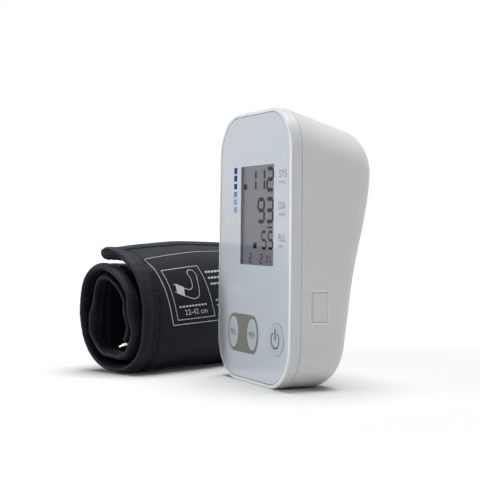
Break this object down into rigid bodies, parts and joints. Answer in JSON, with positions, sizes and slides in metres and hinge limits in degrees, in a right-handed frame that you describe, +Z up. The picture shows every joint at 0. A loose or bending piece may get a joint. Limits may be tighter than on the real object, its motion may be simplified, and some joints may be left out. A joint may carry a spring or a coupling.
{
  "type": "talking blood pressure monitor",
  "caption": "Upper-arm blood pressure monitor with display, three keys, loudspeaker, battery bay and pump, standing beside its rolled arm cuff.",
  "frame": {"origin": "middle of the flat base that the monitor stands on, 12 mm behind its front rim", "axes": "+Z up, +Y towards the monitor's back, +X to the right as one faces the display; the rolled cuff lies on the left"},
  "size_m": [0.1969, 0.1593, 0.15],
  "materials": {
    "case_white": "satin moulded plastic",
    "panel_blue": "glossy pale grey-blue",
    "window": "clear",
    "surround_grey": "satin",
    "display_glass": "matt polariser",
    "frame_white": "matt",
    "seal_grey": "matt",
    "board_green": "solder mask",
    "chip_black": "matt",
    "steel": "bright",
    "switch_black": "matt",
    "switch_button": "matt",
    "key_pale": "satin",
    "foot_rubber": "matt",
    "cell_jacket": "gloss jacket",
    "cone_cloth": "treated paper",
    "magnet": "ground",
    "pump_plastic": "matt",
    "pad_rubber": "foam",
    "tube_rubber": "smooth",
    "socket_plastic": "matt",
    "cuff_cloth": "close woven cloth with bound edges",
    "bladder_rubber": "smooth",
    "port_plastic": "smooth",
    "ring_chrome": "plated wire"
  },
  "bodies": {
    "monitor": {"front_cover": "case_white", "front_panel": "panel_blue", "display_window": "window", "key_surround": "surround_grey", "display": "display_glass", "display_frame": "frame_white", "display_connector": "seal_grey", "main_board": "board_green", "board_chips": "chip_black", "board_screws": "steel", "program_switch": "switch_black", "memory_switch": "switch_black", "power_switch": "switch_black", "rear_housing": "case_white", "lower_left_foot": "foot_rubber", "lower_right_foot": "foot_rubber", "upper_left_foot": "foot_rubber", "upper_right_foot": "foot_rubber", "cell_1": "cell_jacket", "cell_2": "cell_jacket", "cell_3": "cell_jacket", "cell_4": "cell_jacket", "cell_contacts": "steel", "cell_springs": "steel", "case_screws": "steel", "speaker_frame": "steel", "speaker_cone": "cone_cloth", "speaker_magnet": "magnet", "pump_head": "pump_plastic", "pump_motor": "steel", "pump_pads": "pad_rubber", "air_manifold": "pump_plastic", "release_valve": "steel", "pressure_sensor": "chip_black", "pump_tube": "tube_rubber", "valve_tube": "tube_rubber", "sensor_tube": "tube_rubber", "socket_tube": "tube_rubber", "air_socket": "socket_plastic", "dc_jack": "chip_black"},
    "program_key": {"program_key": "key_pale", "program_switch_button": "switch_button"},
    "memory_key": {"memory_key": "key_pale", "memory_switch_button": "switch_button"},
    "power_key": {"power_key": "key_pale", "power_switch_button": "switch_button"},
    "battery_cover": {"battery_cover": "case_white"},
    "jack_cover": {"jack_cover": "case_white"},
    "cuff": {"cuff_cover": "cuff_cloth", "cuff_bladder": "bladder_rubber", "cuff_port": "port_plastic"},
    "cuff_ring": {"cuff_ring": "ring_chrome"}
  },
  "joints": [
    {"name": "program_key_press", "type": "slide", "parent": "monitor", "child": "program_key", "axis": [0, 1, 0], "range_m": [0, 0.0008], "stiffness_N_per_m": 2000, "springref_m": -0.0005},
    {"name": "memory_key_press", "type": "slide", "parent": "monitor", "child": "memory_key", "axis": [0, 1, 0], "range_m": [0, 0.0008], "stiffness_N_per_m": 2000, "springref_m": -0.0005},
    {"name": "power_key_press", "type": "slide", "parent": "monitor", "child": "power_key", "axis": [0, 1, 0], "range_m": [0, 0.0008], "stiffness_N_per_m": 2000, "springref_m": -0.0005},
    {"name": "battery_cover_tip", "type": "hinge", "parent": "monitor", "child": "battery_cover", "pos_m": [0, 0.02618, 0.02587], "axis": [-1, 0, 0], "range_deg": [0, 65]},
    {"name": "jack_cover_swing", "type": "hinge", "parent": "monitor", "child": "jack_cover", "pos_m": [0.04375, 0.00175, 0.04455], "axis": [0, 0, -1], "range_deg": [0, 90]},
    {"name": "cuff_lift", "type": "slide", "parent": "monitor", "child": "cuff", "axis": [0, 0, 1], "range_m": [0, 0.2]},
    {"name": "cuff_ring_swing", "type": "hinge", "parent": "cuff", "child": "cuff_ring", "pos_m": [-0.0917, 0.00143, 0.01751], "axis": [-0.4067, 0.9135, 0], "range_deg": [0, 45]}
  ]
}
